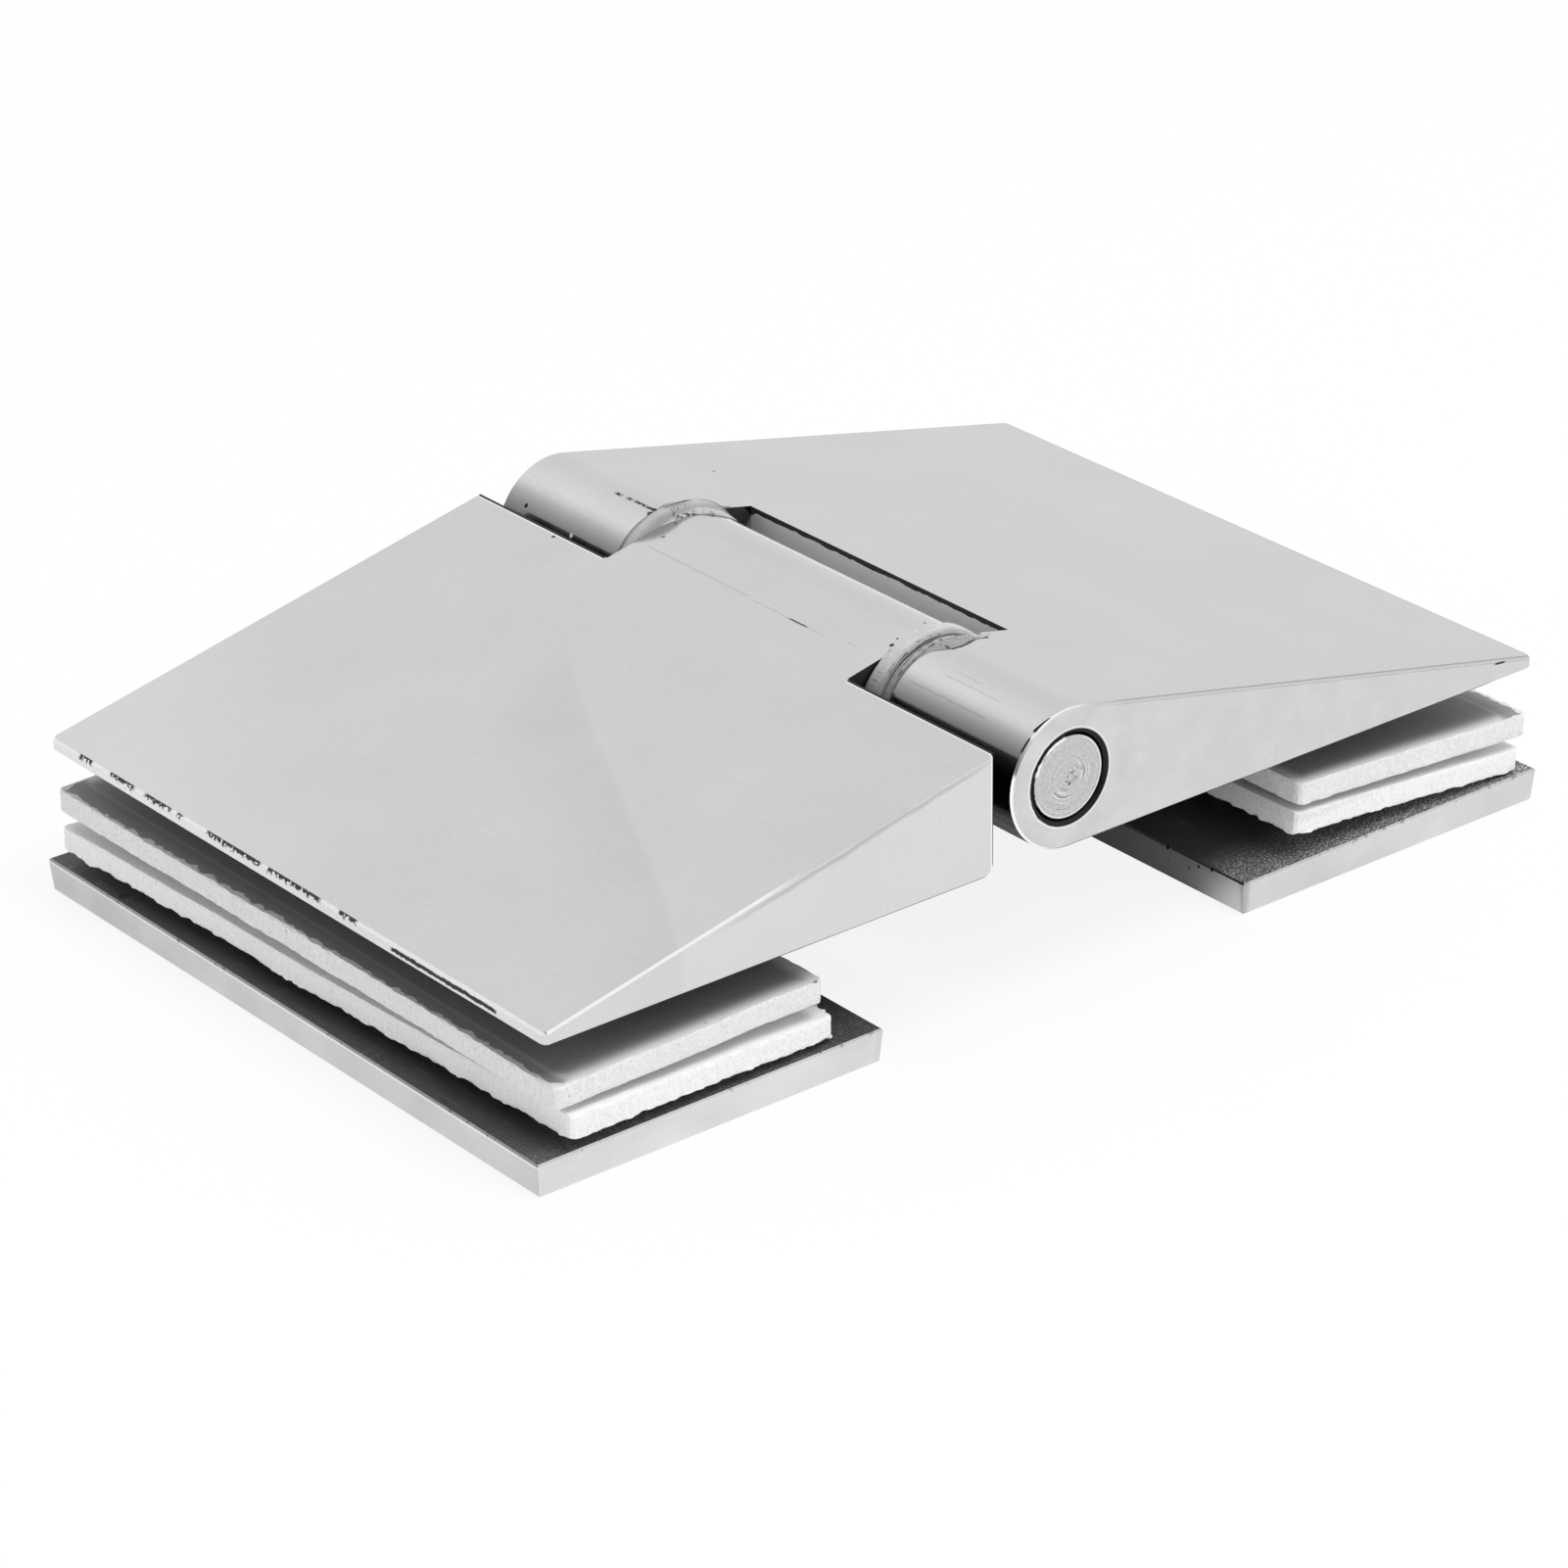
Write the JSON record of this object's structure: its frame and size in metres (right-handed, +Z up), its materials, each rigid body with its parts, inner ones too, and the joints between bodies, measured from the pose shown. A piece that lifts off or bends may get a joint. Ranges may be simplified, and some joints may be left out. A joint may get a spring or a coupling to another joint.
{
  "type": "shower door hinge",
  "caption": "Glass-to-glass shower door hinge: polished wedge-shaped leaves on a pin, with clamp plates and loose gaskets, lying open with its polished faces up.",
  "frame": {"origin": "on the floor under the middle of the pin, with the hinge lying open on its clamp plates", "axes": "+X across the hinge towards the leaf with the two outer knuckles, +Y along the pin, +Z up towards the polished faces"},
  "size_m": [0.1412, 0.0905, 0.0344],
  "materials": {
    "polished_steel": "polished to a mirror, with a few scratches and nicks",
    "turned_steel": "faced on a lathe, with fine rings",
    "plate_steel": "rolled face dull and scratched, sides ground",
    "screw_steel": "plain stainless",
    "bush_plastic": "slightly translucent, satin",
    "gasket_sheet": "white sheet, roughly cut"
  },
  "bodies": {
    "panel_side": {"leaf_left": "polished_steel", "bush_front": "bush_plastic", "bush_back": "bush_plastic", "clamp_plate_left": "plate_steel", "clamp_screw_left_front": "screw_steel", "clamp_screw_left_back": "screw_steel", "gasket_left_lower": "gasket_sheet", "gasket_left_upper": "gasket_sheet"},
    "door_side": {"leaf_right": "polished_steel", "hinge_pin": "turned_steel", "washer_front": "bush_plastic", "washer_back": "bush_plastic", "clamp_plate_right": "plate_steel", "clamp_screw_right_front": "screw_steel", "clamp_screw_right_back": "screw_steel", "gasket_right_lower": "gasket_sheet", "gasket_right_upper": "gasket_sheet"}
  },
  "joints": [
    {"name": "hinge", "type": "hinge", "parent": "panel_side", "child": "door_side", "pos_m": [0, 0, 0.025], "axis": [0, -1, 0], "range_deg": [-90, 118]}
  ]
}
